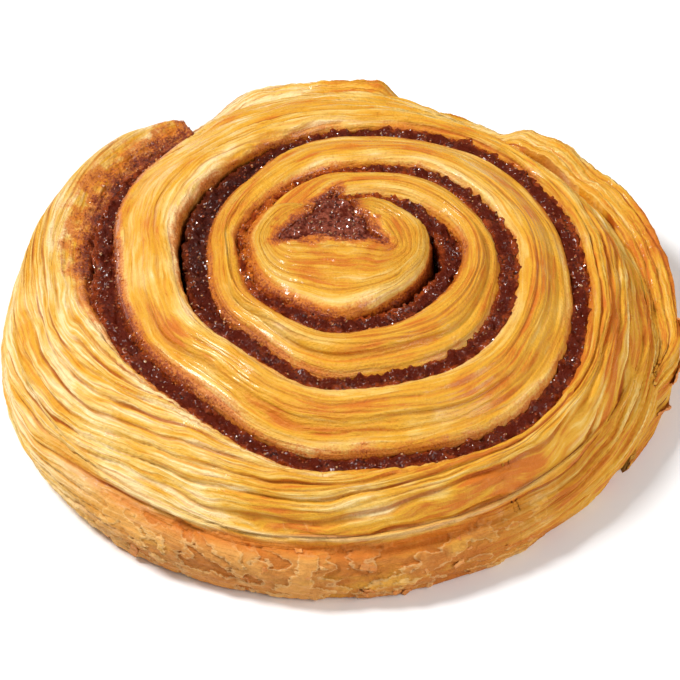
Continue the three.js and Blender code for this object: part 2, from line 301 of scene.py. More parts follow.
def strip_section(angle):
    """The sizes of the strip's cross-section at an angle."""
    outermost = smoothstep(angle, *BLEND)
    skin = smoothstep(angle, OUTERMOST, OUTERMOST + EIGHTH)
    wing = smoothstep(angle, *WING)
    inner = filling_radius(angle) + filling_thickness(angle) * 0.5
    outer = outer_wall(angle)
    lip_height = eased(angle, LIP_PLACES, LIP_HEIGHTS)
    crown = lerp(eased(angle, **CROWN), eased(angle, **OUTER_CROWN), outermost)
    return {
        "outermost": outermost,
        "wing": wing,
        "inner": inner,
        "outer": outer,
        "inner_height": lerp(dome_height(inner), WING_FLOOR, wing),
        "outer_height": lerp(dome_height(outer), lip_height, smoothstep(angle, *HANDOVER)),
        "shoulder_wide": lerp(OUTER_SHOULDER[0], LIP_ROUND[0], outermost),
        "shoulder_deep": lerp(OUTER_SHOULDER[1], LIP_ROUND[1], outermost),
        "crown": crown * (1 - wing),
        "lean": eased(angle, **OUTER_GAP),
        "bulge": skin * eased(angle, **SIDE_BULGE),
        "flare": skin * eased(angle, **SIDE_FLARE),
        "skin": skin,
    }


LEGS = [
    "inner wall", "inner shoulder", "top", "outer shoulder",
    "outer wall", "outer toe", "bottom", "inner toe",
]


def legs_done(step, size, legs):
    """How much of each leg of a walk is behind a step, from 0 to 1."""
    done = {}
    start = 0.0
    for leg in legs:
        done[leg] = ramp(step, start, size[leg] + start)
        start = size[leg] + start
    return done


def walk(section, done):
    """Radius and height on a walk up the inner wall, over the top, down the outer wall and back."""
    shoulders = section["shoulder_wide"] + INNER_SHOULDER[0]
    top_width = section["outer"] - section["inner"] - section["lean"] - shoulders
    bottom_width = section["outer"] + section["flare"] - section["inner"] - 2 * TOE
    radius = (
        section["inner"]
        + section["lean"] * done["inner wall"]
        + quarter_cosine(done["inner shoulder"]) * INNER_SHOULDER[0]
        + top_width * done["top"]
        + section["shoulder_wide"] * quarter_sine(done["outer shoulder"])
        + section["flare"] * done["outer wall"]
        + section["bulge"] * half_sine(done["outer wall"])
        - quarter_cosine(done["outer toe"]) * TOE
        - bottom_width * done["bottom"]
        - quarter_sine(done["inner toe"]) * TOE
    )
    height = (
        (section["inner_height"] - INNER_SHOULDER[1] - TOE) * done["inner wall"]
        + TOE
        + quarter_sine(done["inner shoulder"]) * INNER_SHOULDER[1]
        + (section["outer_height"] - section["inner_height"]) * done["top"]
        + section["crown"] * half_sine(done["top"])
        - section["shoulder_deep"] * quarter_cosine(done["outer shoulder"])
        - (section["outer_height"] - section["shoulder_deep"] - TOE) * done["outer wall"]
        - quarter_sine(done["outer toe"]) * TOE
        + quarter_cosine(done["inner toe"]) * TOE
    )
    return radius, height, top_width


# %% [markdown]
# A maker is a Geometry Nodes tree with named sizes. It starts from a cylinder, whose height runs
# along the strip and whose girth runs round the section, so that the result is closed at both
# ends. Run on an empty object and read back, it leaves a plain mesh without a modifier.

# %% Makers
SOCKETS = {int: "NodeSocketInt", float: "NodeSocketFloat"}


def new_maker(name, sizes, takes_mesh=False):
    """An empty tree with named sizes, as a graph and a wire for each size."""
    tree = bpy.data.node_groups.new(name, "GeometryNodeTree")
    tree.interface.new_socket("Geometry", in_out="OUTPUT", socket_type="NodeSocketGeometry")
    if takes_mesh:
        tree.interface.new_socket("Mesh", in_out="INPUT", socket_type="NodeSocketGeometry")
    for size, value in sizes.items():
        tree.interface.new_socket(size, in_out="INPUT", socket_type=SOCKETS[type(value)])
    graph = Graph(tree)
    given = graph.node("NodeGroupInput")
    names = list(sizes) + (["Mesh"] if takes_mesh else [])
    return graph, {size: given.out(size) for size in names}


def finish_maker(graph, geometry, material):
    real = graph.node("GeometryNodeRealizeInstances", inputs={"Geometry": geometry})
    smooth = graph.node("GeometryNodeSetShadeSmooth", inputs={"Geometry": real})
    dressed = graph.node("GeometryNodeSetMaterial", inputs={"Geometry": smooth, "Material": material})
    graph.node("NodeGroupOutput", inputs={"Geometry": dressed})


def make(name, graph, sizes, mesh=None):
    """Runs a maker and keeps its result as the plain mesh of a new object."""
    holder = bpy.data.objects.new(name, mesh or bpy.data.meshes.new(name))
    bpy.context.scene.collection.objects.link(holder)
    modifier = holder.modifiers.new("made", "NODES")
    modifier.node_group = graph.tree
    for item in graph.tree.interface.items_tree:
        if item.in_out == "INPUT" and item.name in sizes:
            modifier[item.identifier] = sizes[item.name]
    seen = holder.evaluated_get(bpy.context.evaluated_depsgraph_get())
    made = bpy.data.meshes.new_from_object(seen)
    holder.modifiers.clear()
    holder.data = made
    made.name = name
    faces = sum(len(face.vertices) - 2 for face in made.polygons)
    print(name, "has", faces, "triangles")
    return holder


def store(graph, geometry, values):
    """Stores named values on the points of a mesh."""
    for name, value in values.items():
        given = {"Geometry": geometry, "Name": name, "Value": value}
        geometry = graph.node("GeometryNodeStoreNamedAttribute", {"data_type": "FLOAT"}, given)
    return geometry


def recall(graph, name, kind="FLOAT"):
    return graph.node("GeometryNodeInputNamedAttribute", {"data_type": kind}, {"Name": name})


def position(graph):
    """The x, y and z of every point, as three wires."""
    return parts_of(graph, graph.node("GeometryNodeInputPosition"))


def moved(graph, geometry, **how):
    return graph.node("GeometryNodeSetPosition", inputs={"Geometry": geometry, **how})


def move_to(graph, geometry, x, y, z):
    """Puts every point at a place in millimetres."""
    return moved(graph, geometry, Position=vector(graph, x * MM, y * MM, z * MM))


def set_down(graph, geometry):
    """Nothing reaches below the surface that the roll lies on."""
    x, y, z = position(graph)
    return moved(graph, geometry, Position=vector(graph, x, y, maths("MAXIMUM", z, 0.0)))


def finish_relief(graph, geometry, values, material):
    """Stores the values, lifts the surface by the one that is named relief, and dresses it."""
    kept = store(graph, geometry, values)
    lift = scaled(graph, graph.node("GeometryNodeInputNormal"), recall(graph, "relief") * MM)
    finish_maker(graph, set_down(graph, moved(graph, kept, Offset=lift)), material)


def bent_cylinder(graph, size, legs):
    """A cylinder, the share along its length, the step round its girth, and a mask of cap centres."""
    steps = sum((size[leg] for leg in legs[1:]), size[legs[0]])
    given = {"Vertices": steps, "Side Segments": size["stations"], "Radius": 1.0, "Depth": 1.0}
    cylinder = graph.node("GeometryNodeMeshCylinder", {"fill_type": "TRIANGLE_FAN"}, given)
    x, y, z = position(graph)
    turned = maths("ARCTAN2", y, x) / (2 * math.pi)
    found = {
        "share": z + 0.5,
        "step": maths("FLOORED_MODULO", maths("ROUND", (1 - turned) * steps), steps),
        "centre": maths("LESS_THAN", x * x + y * y, 0.25),
    }
    return store(graph, cylinder, found), [recall(graph, name) for name in found]


def surface_sum(mesh):
    """The volume that a closed mesh encloses, in cubic centimetres: negative if it is inside out."""
    total = 0.0
    mesh.calc_loop_triangles()
    for face in mesh.loop_triangles:
        a, b, c = (mesh.vertices[k].co for k in face.vertices)
        total += a.dot(b.cross(c)) / 6
    return total * 1e6


# %% [markdown]
# Croissant dough is folded butter and dough, and a cut across it shows the edges of its layers
# as fine lines that follow the winding. Each layer ends in a soft ridge with a sharp far side, so
# the relief is a saw-toothed wave across the strip. The layers sway a little, and each one comes
# and goes along the strip, which a slow noise does that is read once for each layer.

# %% Layers of the dough
LAYER_SHIFT = 3.7


def layers(along, line, run, seed):
    """Layer edges across a strip: 0 in their grooves, up to 1 on their ridges."""
    layer = floor(line)
    part = line - layer
    strength = smoothstep(noise(along / run, layer * LAYER_SHIFT, seed), -0.55, 0.55)
    ridge = smoothstep(part, 0.0, 0.35) * (1 - smoothstep(part, 0.82, 1.0))
    return ridge * (strength * 0.8 + 0.2)


def creases(along, line, run, seed, wide):
    """Thin lines between the layers: 1 in a crease, which comes and goes along the strip."""
    layer = maths("ROUND", line)
    off = maths("ABSOLUTE", line - layer)
    strength = smoothstep(noise(along / run, layer * LAYER_SHIFT, seed), -0.35, 0.35)
    return (1 - smoothstep(off, wide * 0.3, wide)) * strength


PLATE_LEVELS = (-0.1, 0.14)


def plates(along, up, bare):
    """Blistered skin: thin plates with sharp torn edges, as a height and a mask of their rims."""
    swelling = noise(along / 8.0, up / 4.4, 7.0, 4.0, 0.5) - bare
    height = 0.0
    rims = 0.0
    for level in PLATE_LEVELS:
        over = swelling - level
        height = height + smoothstep(over, -0.012, 0.012) / len(PLATE_LEVELS)
        rims = rims + smoothstep(over, -0.015, 0.0) * (1 - smoothstep(over, 0.01, 0.06))
    return height, rims


def lumps(x, y, z):
    """The height of grainy paste: lumps, with smaller grains on them."""
    graph = wires((x, y, z))[0].graph
    given = {"Vector": vector(graph, x, y, z), "Scale": 0.6}
    lump = graph.node("ShaderNodeTexVoronoi", {"feature": "F1"}, given)
    return grain((x, y, z), 2.0, 4.0, 0.55) * 1.7 + (0.5 - lump) * 0.7


# %% [markdown]
# The strip is made twice from one tree: the inner turns, and the outermost turn, which needs
# finer steps down its outer side because that side is seen. Both follow one formula, so their
# surfaces meet exactly. A few values are stored on the mesh for the material to read: how far
# along and across a point lies, the ridges, the skin's plates, where filling has smeared it,
# where painted shade darkens the deep walls and the groove under the lip, and where a painted
# highlight lightens the lip.

# %% The dough strip
LEG_SIZES = {leg: 2 for leg in LEGS}
STRIP_SIZES = {"from": 0.0, "to": 0.0, "stations": 100, **LEG_SIZES}
EYE_START = (-75.0, -45.0)
EYE_SINK = 1.6
SEAM_EASE = 1.8
SEAM_SINK = 0.12
INLET = (-50.0, 0.0)
INNERMOST = 4.0
PATCH_CORNERS = [(-9.8, 0.4), (-0.6, 10.2), (6.0, -0.6)]
SLANT = {"at": [860, 1010], "to": [0.0, 14.0]}
OPEN_SIDE = {"at": [845, 885, 925, 970], "to": [1, 0, 0, 1]}
BARE = {"at": [840, 885, 915, 940], "to": [0.26, 0.1, -0.04, 0.0]}
# How pale the dough is round the roll: its own tone, made deeper orange from 760 to 900, on the side
# away from the key lamp, as painted shade.
PALE = {
    "at": [200, 260, 330, 420, 560, 600, 650, 700, 760, 830, 880, 900, 940, 1010],
    "to": [0.06, 0.16, 0.08, 0.04, 0.1, 0.22, 0.22, 0.02, -0.22, -0.36, -0.34, -0.18, 0.12, 0.06],
}
SMEAR_INSIDE = {
    "at": [40, 100, 170, 300, 380, 560, 620, 960, 1000],
    "to": [0.4, 0.8, 0.9, 0.85, 0.55, 0.6, 0.5, 0.6, 1.0],
}
SMEAR_OUTSIDE = {
    "at": [-60, 150, 230, 300, 420, 560, 600, 660, 700],
    "to": [0.35, 0.4, 0.7, 0.7, 0.45, 0.5, 1.0, 0.9, 0.0],
}
SHOULDER_ARC = 3.4
LIP_ARC = 1.0
INNER_REACH = 13.0
REACH_GROWTH = 1.27
RING_LINES = 5.0
RING_LEAVES = 17.0
LINES_APART = 1.8
LEAVES_PER_MM = 1.9
EYE_END = (0.0, 20.0)


# %% [markdown]
# The eye of the spiral is a three-cornered patch of filling. Its outline is the distance from
# three straight sides, and noise added to it tears the edge. The dough reads the same distance
# twice: it is sunk below the patch, and stained round it.

# %% The patch at the eye
def patch_outline(x, y):
    """How far outside the even outline of the patch at the eye a place lies, in millimetres."""
    far = -99.0
    for k in range(3):
        ax, ay = PATCH_CORNERS[k]
        bx, by = PATCH_CORNERS[(k + 1) % 3]
        length = math.hypot(bx - ax, by - ay)
        nx, ny = (by - ay) / length, (ax - bx) / length
        side = (x - AXIS[0] - ax) * -nx + (y - AXIS[1] - ay) * -ny
        far = maths("SMOOTH_MAX", far, side, 3.0) if k else side
    return far


def patch_distance(x, y):
    """The same distance from the patch's real, torn outline."""
    torn = noise(x / 4.0, y / 4.0, 5.0, 2.0) * 2.8 + noise(x / 1.2, y / 1.2, 6.0, 2.0) * 1.1
    return patch_outline(x, y) + torn


def patch_pocket(x, y):
    """1 where the dough is sunk below the patch."""
    torn = noise(x / 1.3, y / 1.3, 2.0, 3.0, 0.6) * 0.7
    return smoothstep(torn + 0.4 - patch_distance(x, y), -0.4, 0.4)


def patch_stain(x, y):
    return (1 - smoothstep(patch_distance(x, y), 0.2, 3.8)) * 0.9


# %% [markdown]
# Everything drawn on the strip is a sum of its lengths in millimetres and of a few masks: where
# the cut edge is, where the skin, where the groove under the lip. The layers of the inner turns
# are counted across the cut edge, so that each one runs all the way round. On the outermost turn
# they are counted in millimetres from the filling, and run at a slant over the lip.

# %% Lengths, masks and lines on the strip
def strip_lengths(angle, section, done, top_width):
    """Millimetres along the strip, and across it from its inner edge over the top and down."""
    turned = radians(angle)
    rise = section["inner_height"] - INNER_SHOULDER[1]
    fall = (section["outer_height"] - section["shoulder_deep"]) * done["outer wall"]
    over_top = (
        done["inner shoulder"] * SHOULDER_ARC
        + top_width * done["top"]
        + (section["shoulder_wide"] + LIP_ARC) * done["outer shoulder"]
    )
    return {
        "along": turned * INNER_REACH + turned * turned * REACH_GROWTH,
        "top length": top_width + section["shoulder_wide"] + SHOULDER_ARC + LIP_ARC,
        "over top": over_top,
        "down": fall,
        "over": over_top - (1 - done["inner wall"]) * rise + fall,
    }


def strip_masks(angle, section, done, lengths):
    """What a point of the strip lies on, as values from 0 to 1."""
    along, over, down = lengths["along"], lengths["over"], lengths["down"]
    open_side = eased(angle, **OPEN_SIDE)
    closed_side = section["skin"] * (1 - open_side)
    above = 1 - smoothstep(done["outer wall"], 0.0, 0.25) * (1 - open_side)
    above = done["inner shoulder"] * above
    frayed = down + noise(along / 5.0, over / 2.0, 6.5, 3.0) * 2.4
    below_lip = down + (done["outer shoulder"] - 1) * 1.2 + noise(along / 7.0, 0.0, 8.0) * 0.5
    groove = smoothstep(below_lip, -0.2, 0.9) * (1 - smoothstep(below_lip, 1.2, 3.0))
    torn = noise(along / 2.2, over / 1.5, 6.0, 3.0, 0.6) * (1 - above) * done["inner wall"]
    past_top = smoothstep(over - lengths["top length"], 1.2, 3.0) * (1 - section["skin"])
    on_lip = done["outer shoulder"] * (1 - smoothstep(below_lip, -0.4, 0.3))
    return {
        "open side": open_side,
        "top": above,
        "skin": closed_side * smoothstep(frayed, 0.4, 1.6),
        "groove": groove * closed_side,
        "lip": on_lip * closed_side,
        "torn wall": torn,
        # Walls deep in the gaps, which the smear mask darkens with painted shade.
        "deep wall": maths("MAXIMUM", smoothstep(torn - over, 1.0, 2.8), past_top),
    }


def strip_lines(angle, lengths, across, outermost):
    """The number of the layer, and of the thinner leaf, that a point lies on."""
    along, over = lengths["along"], lengths["over"]
    flow = over - eased(angle, **SLANT)
    sway = noise(along / 26.0, over / 7.0, 1.0) * lerp(0.7, 1.1, outermost)
    on_walls = maths("MINIMUM", over, 0.0) + maths("MAXIMUM", over - lengths["top length"], 0.0)
    on_ring = across * RING_LINES + on_walls / LINES_APART
    line = lerp(on_ring, flow / LINES_APART, outermost) + sway
    on_ring = across * RING_LEAVES + on_walls * LEAVES_PER_MM
    leaf = lerp(on_ring, flow * LEAVES_PER_MM, outermost) + sway * 3.0
    return line, leaf + noise(along / 14.0, over / 3.0, 4.0) * 1.1


# %% Relief and smears on the strip
def strip_relief(section, lengths, on, line, leaf, bare):
    """How far the surface stands out, in millimetres."""
    along, over = lengths["along"], lengths["over"]
    outermost = section["outermost"]
    off_wing = 1 - section["wing"] * 0.95
    coarse = layers(along, line, 18.0, 10.0) - 0.5
    fine = layers(along, leaf, 10.0, 13.0) - 0.5
    open_skin = section["skin"] * on["open side"]
    coarse_depth = (lerp(0.34, 0.95, outermost) + open_skin * 0.25) * off_wing
    fine_depth = lerp(0.17, 0.28, outermost) * off_wing
    plate = plates(along, over, bare)[0] - 0.5
    rough = noise(along / 1.6, over / 1.1, 5.0, 3.0, 0.6)
    return (
        coarse * coarse_depth * on["top"]
        + fine * fine_depth * on["top"]
        + fine * 0.3 * (1 - on["top"]) * (1 - on["skin"])
        + noise(along / 11.0, over / 6.0, 3.0) * lerp(0.35, 0.5, outermost)
        + on["torn wall"] * 0.55
        + on["skin"] * plate * 0.8
        + on["skin"] * rough * 0.15
        - on["groove"] * 0.9
    )


def strip_smear(angle, section, done, lengths):
    """How much filling has been smeared on the dough beside it."""
    reach = lerp(3.6, 13.0, section["wing"])
    near_inner = (1 - smoothstep(lengths["over"], 0.2, reach)) * done["inner wall"]
    left_over = lengths["top length"] - lengths["over top"]
    near_outer = (1 - smoothstep(left_over, 0.6, 4.0)) * done["top"]
    inside = near_inner * eased(angle, **SMEAR_INSIDE)
    return inside + near_outer * eased(angle, **SMEAR_OUTSIDE)


# %% The strip's maker
def strip_maker(material):
    graph, size = new_maker("dough strip", STRIP_SIZES)
    cylinder, (share, step, centre) = bent_cylinder(graph, size, LEGS)
    angle = lerp(size["from"], size["to"], share)
    section = strip_section(angle)
    section["inner"] = lerp(INNERMOST, section["inner"], smoothstep(angle, *INLET))
    done = legs_done(step, size, LEGS)
    radius, height, top_width = walk(section, done)
    from_end = maths("MINIMUM", angle - size["from"], size["to"] - angle)
    sink = (1 - smoothstep(angle, *EYE_START)) * EYE_SINK
    sink = sink + (1 - smoothstep(from_end, 0.0, SEAM_EASE)) * SEAM_SINK
    radius = lerp(radius, (section["inner"] + section["outer"]) * 0.5, centre)
    height = lerp(height - sink, section["outer_height"] * 0.5, centre)
    x, y = place(radius, angle)
    bent = move_to(graph, cylinder, x, y, height)

    lengths = strip_lengths(angle, section, done, top_width)
    over, wing = lengths["over"], section["wing"]
    across = lengths["over top"] / lengths["top length"]
    on = strip_masks(angle, section, done, lengths)
    line, leaf = strip_lines(angle, lengths, across, section["outermost"])
    bare = eased(angle, **BARE)
    at_eye = 1 - smoothstep(angle, *EYE_END)
    paste = (1 - smoothstep(over, 4.0, 11.0)) * done["inner wall"] * wing
    relief = strip_relief(section, lengths, on, line, leaf, bare)
    relief = relief + lumps(x, y, height) * 0.5 * paste
    relief = relief * (1 - done["outer toe"])
    relief = relief - patch_pocket(x, y) * at_eye * done["inner shoulder"] * 1.3
    smear_and_shade = strip_smear(angle, section, done, lengths)
    smear_and_shade = maths("MAXIMUM", smear_and_shade, patch_stain(x, y) * at_eye)
    values = {
        "relief": relief * (1 - centre),
        "along": lengths["along"],
        "over": over,
        "across": across,
        "line": line,
        "leaf": leaf,
        "pale": eased(angle, **PALE),
        "bare": bare,
        "top": (1 - on["skin"]) * (1 - wing * (1 - smoothstep(over, 5.0, 11.0))),
        "skin": on["skin"],
        "outermost": section["outermost"],
        # Deep walls take the filling's dark colour: its real stain, and painted shade in the gaps.
        "smear_and_shade": maths("MAXIMUM", smear_and_shade, on["deep wall"] * 0.95),
        "sugared": smear_and_shade * (1 - on["deep wall"]),
        # Where the groove under the lip gets painted shade.
        "groove_shade": on["groove"],
        # Where the rounded lip gets a painted highlight.
        "lip": on["lip"],
    }
    finish_relief(graph, bent, values, material)
    return graph


# %% [markdown]
# Inside the innermost turn of filling lies the core, a low mound of the same dough. It is bent
# from a sphere, whose rings become the top, the shoulder, the wall and the bottom. Its layers
# run round it as they do in the strip, and bend towards the outline of the patch in its middle.

# %% The core
CORE_RINGS = {"top": 70, "shoulder": 9, "wall": 22, "under": 5}
CORE_SIZES = {"segments": 460, **CORE_RINGS}
CORE_SHRINK = (300.0, 338.0)
CORE_SMEAR = {"at": [150, 200, 300, 330], "to": [0.1, 0.9, 0.7, 0.1]}
CORE_ROUND = 0.17
CORE_SHOULDER_DROP = 0.15


def core_maker(material):
    graph, size = new_maker("dough core", CORE_SIZES)
    rings = size["top"] + size["shoulder"] + size["wall"] + size["under"]
    given = {"Segments": size["segments"], "Rings": rings, "Radius": 1.0}
    sphere = graph.node("GeometryNodeMeshUVSphere", inputs=given)
    x, y, z = position(graph)
    found = {
        "down": maths("ARCCOSINE", z) / math.pi,
        "angle": maths("FLOORED_MODULO", maths("ARCTAN2", x, y) * (180 / math.pi), TURN),
    }
    kept = store(graph, sphere, found)
    angle = recall(graph, "angle")
    done = legs_done(recall(graph, "down") * rings, size, list(CORE_RINGS))
    beside = filling_radius(angle) - filling_thickness(angle) * 0.5
    inlet = filling_radius(angle - TURN) - filling_thickness(angle - TURN) * 0.5
    edge = lerp(beside, inlet, smoothstep(angle, *CORE_SHRINK))
    edge = edge - eased(angle, **CORE_GAP) * (1 - done["wall"])
    on_shoulder = quarter_sine(done["shoulder"]) * CORE_ROUND
    across = done["top"] * (1 - CORE_ROUND) + on_shoulder - done["under"]
    radius = across * edge
    top = dome_height(radius)
    down = quarter_cosine(done["shoulder"]) * CORE_SHOULDER_DROP
    up = 1 - down - done["wall"] * (1 - CORE_SHOULDER_DROP)
    x, y = place(radius, angle)
    bent = move_to(graph, kept, x, y, up * top)

    along = radians(angle) * INNER_REACH
    on_top = 1 - smoothstep(done["wall"], 0.0, 0.15)
    sway = noise(along / 16.0, across * 2.5, 11.0) * 0.9
    winding = smoothstep(across, 0.45, 1.0)
    spiral = lerp(patch_outline(x, y) * 0.62, across * 9.0, winding)
    line = spiral + sway
    leaf = spiral * 3.3 + sway * 3.0 + noise(along / 9.0, across * 4.0, 14.0)
    coarse = layers(along, line, 12.0, 20.0)
    fine = layers(along, leaf, 8.0, 23.0)
    relief = (
        (coarse - 0.5) * 0.34 * on_top
        + (fine - 0.5) * 0.18 * on_top
        + noise(x / 6.0, y / 5.0, 13.0) * 0.3
        + grain((x, y, up * top), 1.6, 3.0, 0.6) * done["shoulder"] * 0.8
        - patch_pocket(x, y) * 1.3
    )
    smear_and_shade = (1 - smoothstep((1 - across) * edge, 0.3, 3.4)) * eased(angle, **CORE_SMEAR)
    smear_and_shade = maths("MAXIMUM", smear_and_shade, patch_stain(x, y))
    values = {
        "relief": relief * (1 - smoothstep(done["wall"], 0.7, 1.0)),
        "along": along,
        "over": radius + done["wall"] * 25.0,
        "across": across,
        "line": line,
        "leaf": leaf,
        "top": on_top,
        # The core's shoulder and wall take the filling's dark colour: its real stain, and painted
        # shade in the gap round the core.
        "smear_and_shade": maths("MAXIMUM", smear_and_shade, smoothstep(done["shoulder"], 0.4, 0.9)),
        "sugared": smear_and_shade * (1 - smoothstep(done["wall"], 0.0, 0.1)),
    }
    finish_relief(graph, bent, values, material)
    return graph


# %% [markdown]
# The filling is brown sugar, butter and cinnamon, baked to a dark grainy paste with syrup round
# it. It is a band that is bent like the strip, a little wider than its room so that no seam
# shows, with lumps on its open top. The patch at the eye is a fine slab with the same lumps,
# which drops below the dough outside its three-cornered outline.

# %% The filling
FILLING_RECESS = {
    "at": [0, 40, 90, 150, 200, 240, 350, 420, 520, 600, 640, 700, 740, 960, 1030],
    "to": [1.0, 1.4, 3.0, 2.2, 1.3, 1.6, 1.7, 1.2, 1.4, 2.2, 3.0, 2.8, 1.6, 2.2, 4.4],
}
FILLING_FLOOR = 0.4
FILLING_CROWN = 0.3
FILLING_START = -22.5
BURIED = 0.7
# Painted shadow: the filling deep in the gap behind the leaning wall is darkened by as much as SHADED
# gives.
SHADED = {"at": [580, 630, 680, 715], "to": [0.0, 1.0, 1.0, 0.0]}
CLINGS = {"at": [585, 625, 675, 705], "to": [0.0, 0.5, 0.5, 0.0]}
BAND_LEGS = ["inner side", "open top", "outer side", "underside"]
BAND_SIZES = {"stations": 2400, "inner side": 4, "open top": 30, "outer side": 4, "underside": 2}


def band_maker(material):
    graph, size = new_maker("filling band", BAND_SIZES)
    cylinder, (share, step, centre) = bent_cylinder(graph, size, BAND_LEGS)
    angle = lerp(FILLING_START, FILLING_END, share)
    done = legs_done(step, size, BAND_LEGS)
    across = (done["open top"] - done["underside"]) * 2 - 1
    up = done["inner side"] - done["outer side"]
    middle = filling_radius(angle)
    half = filling_thickness(angle) * 0.5 + BURIED
    held_in = eased(angle, **CLINGS) + smoothstep(angle, *WING) * 0.5
    rounded = (1 - across * across) * FILLING_CROWN
    top = dome_height(middle) - eased(angle, **FILLING_RECESS) + rounded
    radius = middle + across * half - maths("MAXIMUM", across, 0.0) * held_in
    radius = lerp(radius, middle, centre)
    height = lerp(lerp(FILLING_FLOOR, top, up), top * 0.5, centre)
    x, y = place(radius, angle)
    bent = move_to(graph, cylinder, x, y, height)
    opened = done["inner side"] * (1 - done["outer side"])
    values = {
        "relief": lumps(x, y, height) * opened,
        "open": opened,
        # How much painted shadow the filling gets in the gap.
        "shaded": eased(angle, **SHADED),
        "edge": smoothstep(maths("ABSOLUTE", across), 0.25, 0.8),
        "seam": 1 - smoothstep(filling_thickness(angle), 0.6, 1.8),
    }
    finish_relief(graph, bent, values, material)
    return graph


PATCH_BOX = ((-12.5, -4.0), (9.0, 13.0))
PATCH_SIZES = {"columns": 150, "rows": 110}
PATCH_BELOW = 0.3
PATCH_LUMPS_AT = 20.0


def fine_block(graph, size):
    """A block of one unit, with many columns and rows on its faces up and down."""
    given = {"Vertices X": size["columns"], "Vertices Y": size["rows"], "Vertices Z": 2}
    return graph.node("GeometryNodeMeshCube", inputs={"Size": (1.0, 1.0, 1.0), **given})


def patch_maker(material):
    graph, size = new_maker("filling patch", PATCH_SIZES)
    (low_x, low_y), (high_x, high_y) = PATCH_BOX
    block = fine_block(graph, size)
    share_x, share_y, side = position(graph)
    from_x = lerp(low_x, high_x, share_x + 0.5)
    from_y = lerp(low_y, high_y, share_y + 0.5)
    x, y = from_x + AXIS[0], from_y + AXIS[1]
    far = maths("SQRT", from_x * from_x + from_y * from_y)
    outside = patch_distance(x, y) + noise(x / 2.0, y / 2.0, 8.0) * 0.5
    sunk = smoothstep(outside, -0.4, 2.4) * 3.0 + PATCH_BELOW
    top = dome_height(far) - sunk + lumps(x, y, PATCH_LUMPS_AT) * 0.8
    upper = maths("GREATER_THAN", side, 0.0)
    kept = store(graph, block, {"open": upper, "dry": upper})
    shaped = move_to(graph, kept, x, y, lerp(FILLING_FLOOR, top, upper))
    finish_maker(graph, shaped, material)
    return graph


# %% [markdown]
# The strip's end is thin and wraps on round the back of the roll. It is a low wall with a ragged
# top edge whose layers have come apart, and its last part is slanted and flares outwards.

# %% The tail
TAIL_FROM = 1046.0
TAIL_TO = 1185.0
TAIL_SLANT = 14.0
TAIL_THICK = 5.2
TAIL_TAPER = (0.92, 1.0)
# How pale the tail is along it: its own tone, made deeper orange as painted shade where the tail lies
# in the roll's shadow.
TAIL_PALE = {
    "at": [1056, 1070, 1080, 1090, 1100, 1150],
    "to": [0.5, 0.3, -0.35, -0.35, 0.0, -0.4],
}
TAIL_REACH = 55.0
TAIL_FACE = 14.0
TAIL_PLACES = [1035, 1050, 1065, 1087, 1094, 1112, 1119, 1127, 1133, 1140, 1155, 1170, 1184]
TAIL_RADII = [54.0, 55.6, 55.0, 53.8, 53.2, 53.8, 55.0, 55.6, 55.9, 56.7, 57.2, 57.0, 58.8]
TAIL_HEIGHTS = [6.0, 9.0, 16.0, 17.4, 12.6, 12.0, 15.0, 15.4, 13.6, 14.0, 12.4, 11.0, 9.4]
TAIL_TUCK = {"at": [1035, 1110, 1190], "to": [0.6, 1.4, 3.4]}
TAIL_LEGS = ["inner side", "top", "outer side", "underside"]
TAIL_SIZES = {"stations": 620, "inner side": 10, "top": 18, "outer side": 46, "underside": 2}


def tail_maker(material):
    graph, size = new_maker("dough tail", TAIL_SIZES)
    cylinder, (share, step, centre) = bent_cylinder(graph, size, TAIL_LEGS)
    done = legs_done(step, size, TAIL_LEGS)
    up = lerp(done["inner side"] - done["outer side"], 0.5, centre)
    across = lerp(done["top"] - done["underside"], 0.5, centre)
    torn_end = noise(up * 6.0, across * 1.5, 9.0, 3.0, 0.6) * share ** 8 * 2.4
    slanted = (1 - up) * TAIL_SLANT * share ** 4
    angle = lerp(TAIL_FROM, TAIL_TO, share) + slanted + torn_end
    ragged = noise(angle / 3.2, across * 2.4, 1.0, 4.0, 0.65) * 0.9
    height = eased(angle, TAIL_PLACES, TAIL_HEIGHTS) + ragged
    closing = smoothstep(share, *TAIL_TAPER)
    thick = TAIL_THICK * (1 - closing * 0.85)
    tucked = eased(angle, **TAIL_TUCK) * (1 - up) * across * (1 - closing)
    radius = eased(angle, TAIL_PLACES, TAIL_RADII) - TAIL_THICK + across * thick - tucked
    x, y = place(radius, angle)
    bent = move_to(graph, cylinder, x, y, height * up)

    along = radians(angle) * TAIL_REACH
    over = across * TAIL_THICK + done["outer side"] * TAIL_FACE
    sway = noise(along / 20.0, over / 7.0, 21.0) * 0.8
    line = over / 1.6 + sway
    leaf = over * LEAVES_PER_MM + sway * 3.0 + noise(along / 12.0, over / 3.0, 24.0)
    coarse = layers(along, line, 14.0, 30.0)
    plate = plates(along, over, 0.1)[0]
    on_skin = smoothstep(done["outer side"], 0.4, 0.7) * (1 - smoothstep(share, 0.5, 0.7))
    relief = coarse * 0.7 * (1 - on_skin) + on_skin * (plate - 0.5) * 0.8
    relief = relief + noise(along / 5.0, over / 3.0, 3.0) * 0.3
    values = {
        "relief": relief * (1 - done["underside"]) * (1 - centre),
        "along": along,
        "over": over,
        "across": across,
        "line": line,
        "leaf": leaf,
        "pale": eased(angle, **TAIL_PALE),
        "top": 1 - on_skin,
        "skin": on_skin,
        "outermost": 1.0,
    }
    finish_relief(graph, bent, values, material)
    return graph


# %% [markdown]
# Colours are given as they look on a screen and made linear once. A finish is a material whose
# colour, gloss and bump are sums of a few masks: those stored on the mesh, and fine noise that
# reads the stored lengths along and over the strip, so that its streaks follow the winding.

